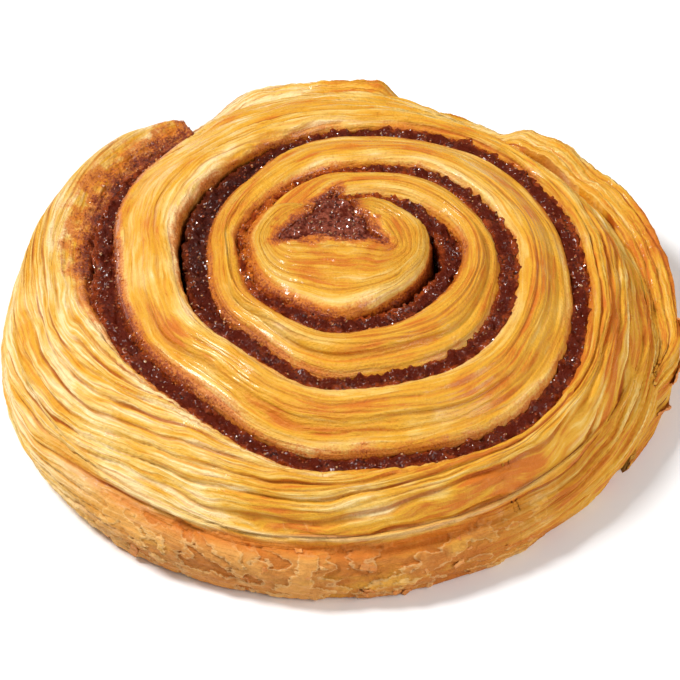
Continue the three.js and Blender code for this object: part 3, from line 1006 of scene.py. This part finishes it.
# %% Colours and masks
def colour(*parts):
    linear = [((part / 255 + 0.055) / 1.055) ** 2.4 for part in parts]
    return (*linear, 1.0)


def mix(factor, first, second):
    graph = wires((factor, first, second))[0].graph
    given = {"Factor": factor, "A": first, "B": second}
    return graph.node("ShaderNodeMix", {"data_type": "RGBA"}, given)


def new_finish(name):
    material = bpy.data.materials.new(name)
    material.use_nodes = True
    material.node_tree.nodes.clear()
    return material, Graph(material.node_tree)


def masks(graph, *names):
    """Values that a maker has stored on the mesh."""
    shader = "ShaderNodeAttribute"
    return [graph.node(shader, {"attribute_name": name}).out("Fac") for name in names]


def bump(graph, height, deep):
    """A normal for relief of a height from 0 to 1 that stands for a depth in millimetres."""
    given = {"Height": height, "Distance": deep * MM, "Strength": 1.0}
    return graph.node("ShaderNodeBump", inputs=given)


def finish_surface(graph, sockets):
    shader = graph.node("ShaderNodeBsdfPrincipled", inputs=sockets)
    graph.node("ShaderNodeOutputMaterial", inputs={"Surface": shader})


def shaded_spot(graph):
    """The x, y and z of the point that is shaded, in millimetres."""
    spot = graph.node("ShaderNodeTexCoord").out("Object")
    return [part / MM for part in parts_of(graph, spot)]


def sharpened(value, gain):
    """Noise with more contrast, from 0 to 1."""
    return smoothstep(value * gain, -1.0, 1.0)


# %% The dough's finish
CREAM = colour(250, 222, 160)
BUTTER = colour(236, 192, 98)
GOLD = colour(226, 164, 42)
AMBER = colour(208, 114, 26)
ORANGE = colour(170, 78, 8)
TAN = colour(190, 108, 34)
PLATE = colour(222, 154, 76)
HONEY = colour(210, 114, 26)
SYRUP = colour(154, 62, 14)
CARAMEL = colour(88, 28, 8)


def dough_finish():
    material, graph = new_finish("golden dough")
    along, over, across, line, leaf = masks(graph, "along", "over", "across", "line", "leaf")
    top, skin, outermost, lip = masks(graph, "top", "skin", "outermost", "lip")
    smear_and_shade, groove_shade, pale, bare = masks(graph, "smear_and_shade", "groove_shade", "pale", "bare")
    spot = shaded_spot(graph)
    sheet = noise(along / 24.0, line * 1.3, 1.0, 3.0, 0.6)
    streak = noise(along / 14.0, leaf * 0.9, 2.0, 4.0, 0.65)
    hair = noise(along / 7.0, leaf * 2.6, 3.0, 3.0, 0.6)
    broad = noise(along / 18.0, over / 4.0, 4.0, 2.0)
    cloud = grain(spot, 5.0, 3.0, 0.6)
    blotch = grain(spot, 3.2, 3.0, 0.6)
    pore = grain(spot, 1 / 1.6, 3.0, 0.65)
    grit = grain(spot, 1 / 2.6, 3.0, 0.6)
    deep = creases(along, line, 16.0, 31.5, lerp(0.12, 0.15, outermost)) * top
    thin = creases(along, leaf, 8.0, 32.5, 0.3) * top
    crest = smoothstep(across, 0.1, 0.4) * (1 - smoothstep(across, 0.66, 0.96))
    crest = crest * top * (1 - outermost)
    pale = (
        pale
        + 0.57
        + sheet * lerp(0.4, 0.75, outermost)
        + streak * lerp(0.6, 1.0, outermost)
        + broad * 0.7
        + cloud * 0.3
        + hair * 0.35
        - crest * 0.42
    )
    shade = mix(smoothstep(pale, -0.15, 0.3), AMBER, GOLD)
    shade = mix(smoothstep(pale, 0.3, 0.66), shade, BUTTER)
    shade = mix(smoothstep(pale, 0.62, 1.0), shade, CREAM)
    shade = mix(smoothstep(pore, 0.22, 0.5) * 0.45 * top, shade, AMBER)
    # The creases between the layers are darker: the layers' own edges, with painted shade in the
    # grooves.
    shade = mix(thin * lerp(0.35, 0.5, outermost), shade, AMBER)
    shade = mix(deep * lerp(0.45, 0.9, outermost), shade, ORANGE)
    plate, rim = plates(along, over, bare)
    baked = mix(smoothstep(plate + cloud * 0.9 + pore * 0.4 - bare, -0.1, 1.1), TAN, PLATE)
    baked = mix(smoothstep(broad + cloud * 0.5, 0.0, 0.5) * 0.6, baked, GOLD)
    # Painted highlight on the plates' torn rims.
    baked = mix(rim * 0.3, baked, CREAM)
    shade = mix(skin * 0.95, shade, baked)
    # Painted highlight: the rounded lip is lightened towards cream.
    shade = mix(lip * 0.7, shade, CREAM)
    # Painted shade in the groove under the lip.
    shade = mix(groove_shade * 0.85, shade, AMBER)
    on_wing = (1 - top) * (1 - skin)
    glaze = blotch * 0.8 + 0.3 - smoothstep(over, 0.5, 5.0) * 0.42
    # The filling's stain darkens the dough to syrup and caramel, and so does painted shade deep in the
    # gaps.
    stain_and_shade = smear_and_shade + cloud * 0.4 + streak * 0.3 + grit * 0.25 + on_wing * glaze
    shade = mix(smoothstep(stain_and_shade, 0.15, 0.5) * 0.9, shade, HONEY)
    shade = mix(smoothstep(stain_and_shade + grit * 0.4, 0.5, 0.85), shade, SYRUP)
    shade = mix(smoothstep(stain_and_shade + grit * 0.5, 0.85, 1.2) * 0.9, shade, CARAMEL)
    wet = smoothstep(stain_and_shade, 0.3, 0.7)
    grooves = thin * 0.2 + deep * 0.3
    height = streak * lerp(0.4, 0.6, outermost) + hair * 0.3 + pore * 0.6 - grooves
    height = height + grit * wet * 0.5
    gloss = smoothstep(cloud + wet * 0.8 + crest * 0.3, -0.1, 0.7) * (1 - skin)
    sockets = {
        "Base Color": shade,
        "Roughness": 0.56 - gloss * 0.24,
        "Specular IOR Level": 0.25,
        "Coat Weight": gloss * (wet * 0.3 + 0.4),
        "Coat Roughness": 0.09,
        "Normal": bump(graph, height, 0.26),
    }
    finish_surface(graph, sockets)
    return material


# %% The filling's finish
PASTE = colour(88, 25, 8)
# Dark brown for burnt spots, and for painted shadow in the gap.
BURNT_AND_SHADOW = colour(48, 12, 4)
DRY = colour(158, 82, 60)


def filling_finish():
    material, graph = new_finish("dark cinnamon filling")
    edge, dry, shaded, seam = masks(graph, "edge", "dry", "shaded", "seam")
    spot = shaded_spot(graph)
    cloud = grain(spot, 2.6, 3.0, 0.6)
    grit = grain(spot, 1 / 1.4, 4.0, 0.65)
    shade = mix(smoothstep(cloud + grit * 0.5 + edge * 0.45 + seam * 0.6, 0.0, 0.8), PASTE, SYRUP)
    shade = mix(smoothstep(cloud + grit * 0.5 + edge * 0.4 + seam * 0.8, 0.7, 1.3) * 0.8, shade, HONEY)
    shade = mix(smoothstep(cloud * 0.5 + grit + 0.25, 0.0, 0.6) * dry * 0.75, shade, DRY)
    shade = mix(smoothstep(cloud * 0.6 - grit, 0.1, 0.5), shade, BURNT_AND_SHADOW)
    # Painted shadow on the filling deep in the gap.
    shade = mix(shaded * 0.6, shade, BURNT_AND_SHADOW)
    height = grit * 0.8 + grain(spot, 1 / 4.0, 2.0) * 0.2
    wet = smoothstep(cloud + grit * 0.3, -0.3, 0.3)
    sockets = {
        "Base Color": shade,
        "Roughness": 0.5 - wet * 0.2,
        "Specular IOR Level": 0.06,
        "Coat Weight": wet * 0.45,
        "Coat Roughness": 0.04,
        "Normal": bump(graph, height, 0.3),
    }
    finish_surface(graph, sockets)
    return material


def sugar_finish(name, dark, light):
    material, graph = new_finish(name)
    x, y, z = spot = shaded_spot(graph)
    shade = mix(sharpened(grain(spot, 1 / 1.3), 2.0), dark, light)
    # Painted glints: some crystals are lightened towards cream.
    glint = smoothstep(noise(x * 2.1, y * 2.1, z * 2.1 + 9), 0.15, 0.3)
    sockets = {
        "Base Color": mix(glint * 0.4, shade, CREAM),
        "Roughness": 0.15,
        "Coat Weight": 1.0,
        "Coat Roughness": 0.04,
    }
    finish_surface(graph, sockets)
    return material


# %% [markdown]
# Sugar and cinnamon that haven't melted lie on the filling as small glittering crystals, and the
# winding has smeared some on the dough beside it. They are scattered over the finished mesh where
# a stored mask allows it: one crystal with twenty flat faces, turned and stretched at random.

# %% Crystals
CRYSTAL_SIZES = {"per square millimetre": 0.5, "smallest": 0.12, "largest": 0.4, "seed": 1}


def drawn(graph, low, high, seed):
    """A random number or vector for each point."""
    kind = "FLOAT_VECTOR" if isinstance(low, tuple) else "FLOAT"
    given = {"Min": low, "Max": high, "Seed": seed}
    return graph.node("FunctionNodeRandomValue", {"data_type": kind}, given)


def placed(graph, points, thing, facing, scale):
    """A real copy of a thing on each point."""
    given = {"Points": points, "Instance": thing, "Rotation": facing, "Scale": scale}
    copies = graph.node("GeometryNodeInstanceOnPoints", inputs=given)
    return graph.node("GeometryNodeRealizeInstances", inputs={0: copies})


def scatter(graph, size, where, thing, stretch, tilt):
    """Copies of a thing where a stored mask is high, turned and sized at random."""
    seed = size["seed"]
    given = {
        "Mesh": size["Mesh"],
        "Selection": maths("GREATER_THAN", recall(graph, where), 0.6),
        "Density": size["per square millimetre"] / MM / MM,
        "Seed": seed,
    }
    settings = {"distribute_method": "RANDOM"}
    points = graph.node("GeometryNodeDistributePointsOnFaces", settings, given)
    spin = drawn(graph, (-tilt, -tilt, -math.pi), (tilt, tilt, math.pi), seed + 1)
    spin = graph.node("FunctionNodeEulerToRotation", inputs={0: spin})
    given = {"Rotation": points.out("Rotation"), "Rotate By": spin}
    facing = graph.node("FunctionNodeRotateRotation", {"rotation_space": "LOCAL"}, given)
    big = drawn(graph, 0.0, 1.0, seed + 2)
    by = lerp(size["smallest"], size["largest"], big * big) * MM
    scale = scaled(graph, drawn(graph, *stretch, seed + 3), by)
    return placed(graph, points, thing, facing, scale)


def crystal_maker(material, where):
    graph, size = new_maker("crystals on " + where, CRYSTAL_SIZES, takes_mesh=True)
    crystal = graph.node("GeometryNodeMeshIcoSphere", inputs={"Radius": 1.0, "Subdivisions": 1})
    spread = scatter(graph, size, where, crystal, ((0.6, 0.6, 0.5), (1.2, 1.2, 1.0)), 0.5)
    given = {"Geometry": spread, "Material": material}
    dressed = graph.node("GeometryNodeSetMaterial", inputs=given)
    graph.node("NodeGroupOutput", inputs={"Geometry": dressed})
    return graph


# %% [markdown]
# Baking lifts thin scales of crust off the skin. A scale is a thin plate with a curl, laid on the
# skin at random. Noise then pushes its points about, so that no two scales have one outline.

# %% Scales of crust
SCALE_SIZES = {"per square millimetre": 0.022, "smallest": 0.6, "largest": 1.6, "seed": 3}


def tear(graph, geometry, scale, far):
    """Pushes every point about by up to half a distance in millimetres, with noise."""
    given = {"Vector": graph.node("GeometryNodeInputPosition"), "Scale": scale, "Detail": 2.0}
    jolt = graph.node("ShaderNodeTexNoise", inputs=given).out("Color")
    given = {0: jolt, 1: (0.5, 0.5, 0.5)}
    centred = graph.node("ShaderNodeVectorMath", {"operation": "SUBTRACT"}, given)
    return moved(graph, geometry, Offset=scaled(graph, centred, far * MM))


def scale_maker(material, where):
    graph, size = new_maker("scales on " + where, SCALE_SIZES, takes_mesh=True)
    given = {"Size": (2.0, 1.1, 0.09), "Vertices X": 8, "Vertices Y": 6, "Vertices Z": 2}
    plate = graph.node("GeometryNodeMeshCube", inputs=given)
    x, y, z = position(graph)
    curled = moved(graph, plate, Offset=vector(graph, z=x * x * 0.12 + y * y * 0.1))
    spread = scatter(graph, size, where, curled, ((0.5, 0.5, 0.8), (1.2, 1.1, 1.2)), 0.12)
    finish_maker(graph, set_down(graph, tear(graph, spread, 900.0, 0.9)), material)
    return graph


# %% [markdown]
# The tail ends in a few sheets that have torn loose. Each is an instance of one thin curled sheet
# on a point that carries its own turn and size, so that a new flap is one more line in the list.

# %% Torn flaps
FLAP_CURL = 1.3
FLAP_THICK = 0.07
FLAP_GRID = {"columns": 16, "rows": 12}
FLAPS = [
    # winding, radius, height, heading, pitch, roll, length, width
    (1172.0, 56.2, 9.0, -30.0, -8.0, 50.0, 4.4, 5.0),
    (1178.0, 56.0, 5.6, -50.0, 0.0, 40.0, 5.0, 4.4),
    (1184.0, 55.6, 2.4, -70.0, 0.0, 30.0, 4.4, 3.6),
]


def flap_carrier():
    """A mesh of loose points that carry the turn and size of every flap."""
    mesh = bpy.data.meshes.new("flap points")
    spots = [(*place(radius, angle), height) for angle, radius, height, *rest in FLAPS]
    mesh.from_pydata([[part * MM for part in spot] for spot in spots], [], [])
    turns_of = mesh.attributes.new("turned", "FLOAT_VECTOR", "POINT")
    sizes_of = mesh.attributes.new("sized", "FLOAT_VECTOR", "POINT")
    for k, (*spot, heading, pitch, roll, length, width) in enumerate(FLAPS):
        turns_of.data[k].vector = [math.radians(part) for part in (roll, pitch, heading)]
        sizes_of.data[k].vector = [length * MM, width * MM, length * MM]
    return mesh


def flap_maker(material):
    graph, size = new_maker("torn flaps", FLAP_GRID, takes_mesh=True)
    block = fine_block(graph, size)
    across_x, across_y, side = position(graph)
    done = across_x + 0.5
    tilt = done * FLAP_CURL
    x = maths("SINE", tilt) / FLAP_CURL
    y = across_y * (1 - done * done * 0.35)
    z = (1 - maths("COSINE", tilt)) / FLAP_CURL + side * FLAP_THICK + across_y * across_y * 0.3
    sheet = moved(graph, block, Position=vector(graph, x, y, z))
    turned = recall(graph, "turned", "FLOAT_VECTOR")
    sized = recall(graph, "sized", "FLOAT_VECTOR")
    facing = graph.node("FunctionNodeEulerToRotation", inputs={0: turned})
    points = graph.node("GeometryNodeMeshToPoints", inputs={"Mesh": size["Mesh"]})
    real = placed(graph, points, sheet, facing, sized)
    finish_maker(graph, set_down(graph, tear(graph, real, 420.0, 2.6)), material)
    return graph


def scale_finish():
    material, graph = new_finish("thin crust")
    spot = shaded_spot(graph)
    shade = mix(sharpened(grain(spot, 1.6, 3.0, 0.6), 2.0), AMBER, PLATE)
    height = grain(spot, 1 / 2.0, 3.0)
    sockets = {"Base Color": shade, "Roughness": 0.5, "Normal": bump(graph, height, 0.1)}
    finish_surface(graph, sockets)
    return material


# %% [markdown]
# Now the makers run. The outermost turn is two pieces that overlap by two degrees, because one
# mesh of it would be too heavy. The numbers for each leg are its steps: many on the top and on
# the baked side, which are seen, and few below. A printed volume above zero shows that a piece
# is not inside out.

# %% The pieces
dough = dough_finish()
cinnamon = filling_finish()

INNER_LEGS = dict(zip(LEGS, (9, 9, 40, 12, 12, 2, 2, 2)))
OUTER_LEGS = dict(zip(LEGS, (9, 9, 48, 5, 52, 4, 2, 2)))
strip = strip_maker(dough)


def strip_piece(name, start, end, stations, legs):
    return make(name, strip, {"from": start, "to": end, "stations": stations, **legs})


turns = strip_piece("dough_turns", -75.0, 690.0, 1130, INNER_LEGS)
outer_right = strip_piece("dough_outer_right", 684.0, 868.0, 760, OUTER_LEGS)
outer_left = strip_piece("dough_outer_left", 866.0, 1050.0, 760, OUTER_LEGS)
core = make("dough_core", core_maker(dough), CORE_SIZES)
tail = make("dough_tail", tail_maker(dough), TAIL_SIZES)
band = make("filling_band", band_maker(cinnamon), BAND_SIZES)
patch = make("filling_patch", patch_maker(cinnamon), PATCH_SIZES)

for piece in (turns, outer_right, outer_left, core, tail, band, patch):
    print(piece.name, "holds", round(surface_sum(piece.data), 1), "cm3")


# %% Sugar and crust on the pieces
def scattered(name, maker, sizes, carrier, density=None):
    """Small things on a copy of a piece's mesh, as a piece of their own."""
    density = density or sizes["per square millimetre"]
    sizes = {**sizes, "per square millimetre": density}
    return make(name, maker, sizes, carrier.data.copy())


on_filling = crystal_maker(sugar_finish("moist brown sugar", CARAMEL, SYRUP), "open")
on_dough = crystal_maker(sugar_finish("melting brown sugar", SYRUP, HONEY), "sugared")
crystals = [
    scattered("sugar_on_band", on_filling, CRYSTAL_SIZES, band),
    scattered("sugar_on_patch", on_filling, CRYSTAL_SIZES, patch, 1.2),
    scattered("sugar_on_turns", on_dough, CRYSTAL_SIZES, turns, 1.0),
    scattered("sugar_on_wing", on_dough, CRYSTAL_SIZES, outer_left),
    scattered("sugar_on_core", on_dough, CRYSTAL_SIZES, core),
]
thin = scale_finish()
on_skin = scale_maker(thin, "skin")
scales = [
    scattered("scales_on_right", on_skin, SCALE_SIZES, outer_right),
    scattered("scales_on_left", on_skin, SCALE_SIZES, outer_left),
    scattered("scales_on_tail", on_skin, SCALE_SIZES, tail),
]
flaps = make("torn_flaps", flap_maker(thin), FLAP_GRID, flap_carrier())

# %% Bodies and nodes
for piece in (turns, outer_right, outer_left, core, tail):
    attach(piece, "root")
    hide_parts("dough")
for piece in (*scales, flaps):
    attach(piece, "root")
for piece in crystals:
    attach(piece, "root")
for piece in (band, patch):
    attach(piece, "root")
    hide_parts("filling")


# %% [markdown]
# The floor is white and the light soft: a lamp high on the left, a wide weaker one from the front
# right, and a pale world. The camera looks down at 44 degrees from far away, through a long lens,
# which is what the roundness of the turns in the photo says.

# %% Floor, light and camera
def floor_finish():
    material, graph = new_finish("pale floor")
    x, y, z = shaded_spot(graph)
    cloud = noise(x / 40.0, y / 40.0) * 0.5 + 0.5
    shade = mix(cloud, colour(250, 250, 250), colour(247, 247, 247))
    finish_surface(graph, {"Base Color": shade, "Roughness": 0.8})
    return material


FLOOR_HALF = 2.0


def make_floor():
    mesh = bpy.data.meshes.new("floor")
    corners = [(x * FLOOR_HALF, y * FLOOR_HALF, 0) for x, y in ((-1, -1), (1, -1), (1, 1), (-1, 1))]
    mesh.from_pydata(corners, [], [(0, 1, 2, 3)])
    mesh.materials.append(floor_finish())
    made = bpy.data.objects.new("floor", mesh)
    bpy.context.scene.collection.objects.link(made)


def aim(thing, place_at, target):
    thing.location = place_at
    thing.rotation_euler = (Vector(target) - Vector(place_at)).to_track_quat("-Z", "Y").to_euler()
    bpy.context.scene.collection.objects.link(thing)


LIT_SPOT = (0.0, 0.0, 0.01)
WORLD_STRENGTH = 0.32


def area_light(name, azimuth, elevation, distance, size, watts):
    light = bpy.data.lights.new(name, "AREA")
    light.shape = "DISK"
    light.size = size
    light.energy = watts
    turned, raised = math.radians(azimuth), math.radians(elevation)
    level = math.cos(raised)
    back = (math.sin(turned) * level, -math.cos(turned) * level, math.sin(raised))
    spot = [part * distance for part in back]
    aim(bpy.data.objects.new(name, light), spot, LIT_SPOT)


make_floor()
area_light("key", -100.0, 56.0, 0.8, 0.24, 6.2)
area_light("fill", 60.0, 34.0, 0.9, 0.6, 4.0)

world = bpy.data.worlds.new("studio")
world.use_nodes = True
backdrop = world.node_tree.nodes["Background"]
backdrop.inputs["Color"].default_value = (1.0, 1.0, 1.0, 1.0)
backdrop.inputs["Strength"].default_value = WORLD_STRENGTH
bpy.context.scene.world = world
bpy.context.scene.view_settings.view_transform = "Standard"

CAMERA_TARGET = (AXIS[0], AXIS[1], 4.9)
CAMERA_ELEVATION = math.radians(44.0)
CAMERA_DISTANCE = 620.0
lens = bpy.data.cameras.new("camera")
lens.lens = 192.35
lens.sensor_width = 36.0
lens.clip_start = 0.05
lens.clip_end = 10.0
camera = bpy.data.objects.new("camera", lens)
eye = (
    CAMERA_TARGET[0],
    CAMERA_TARGET[1] - CAMERA_DISTANCE * math.cos(CAMERA_ELEVATION),
    CAMERA_TARGET[2] + CAMERA_DISTANCE * math.sin(CAMERA_ELEVATION),
)
aim(camera, [part * MM for part in eye], [part * MM for part in CAMERA_TARGET])
bpy.context.scene.camera = camera
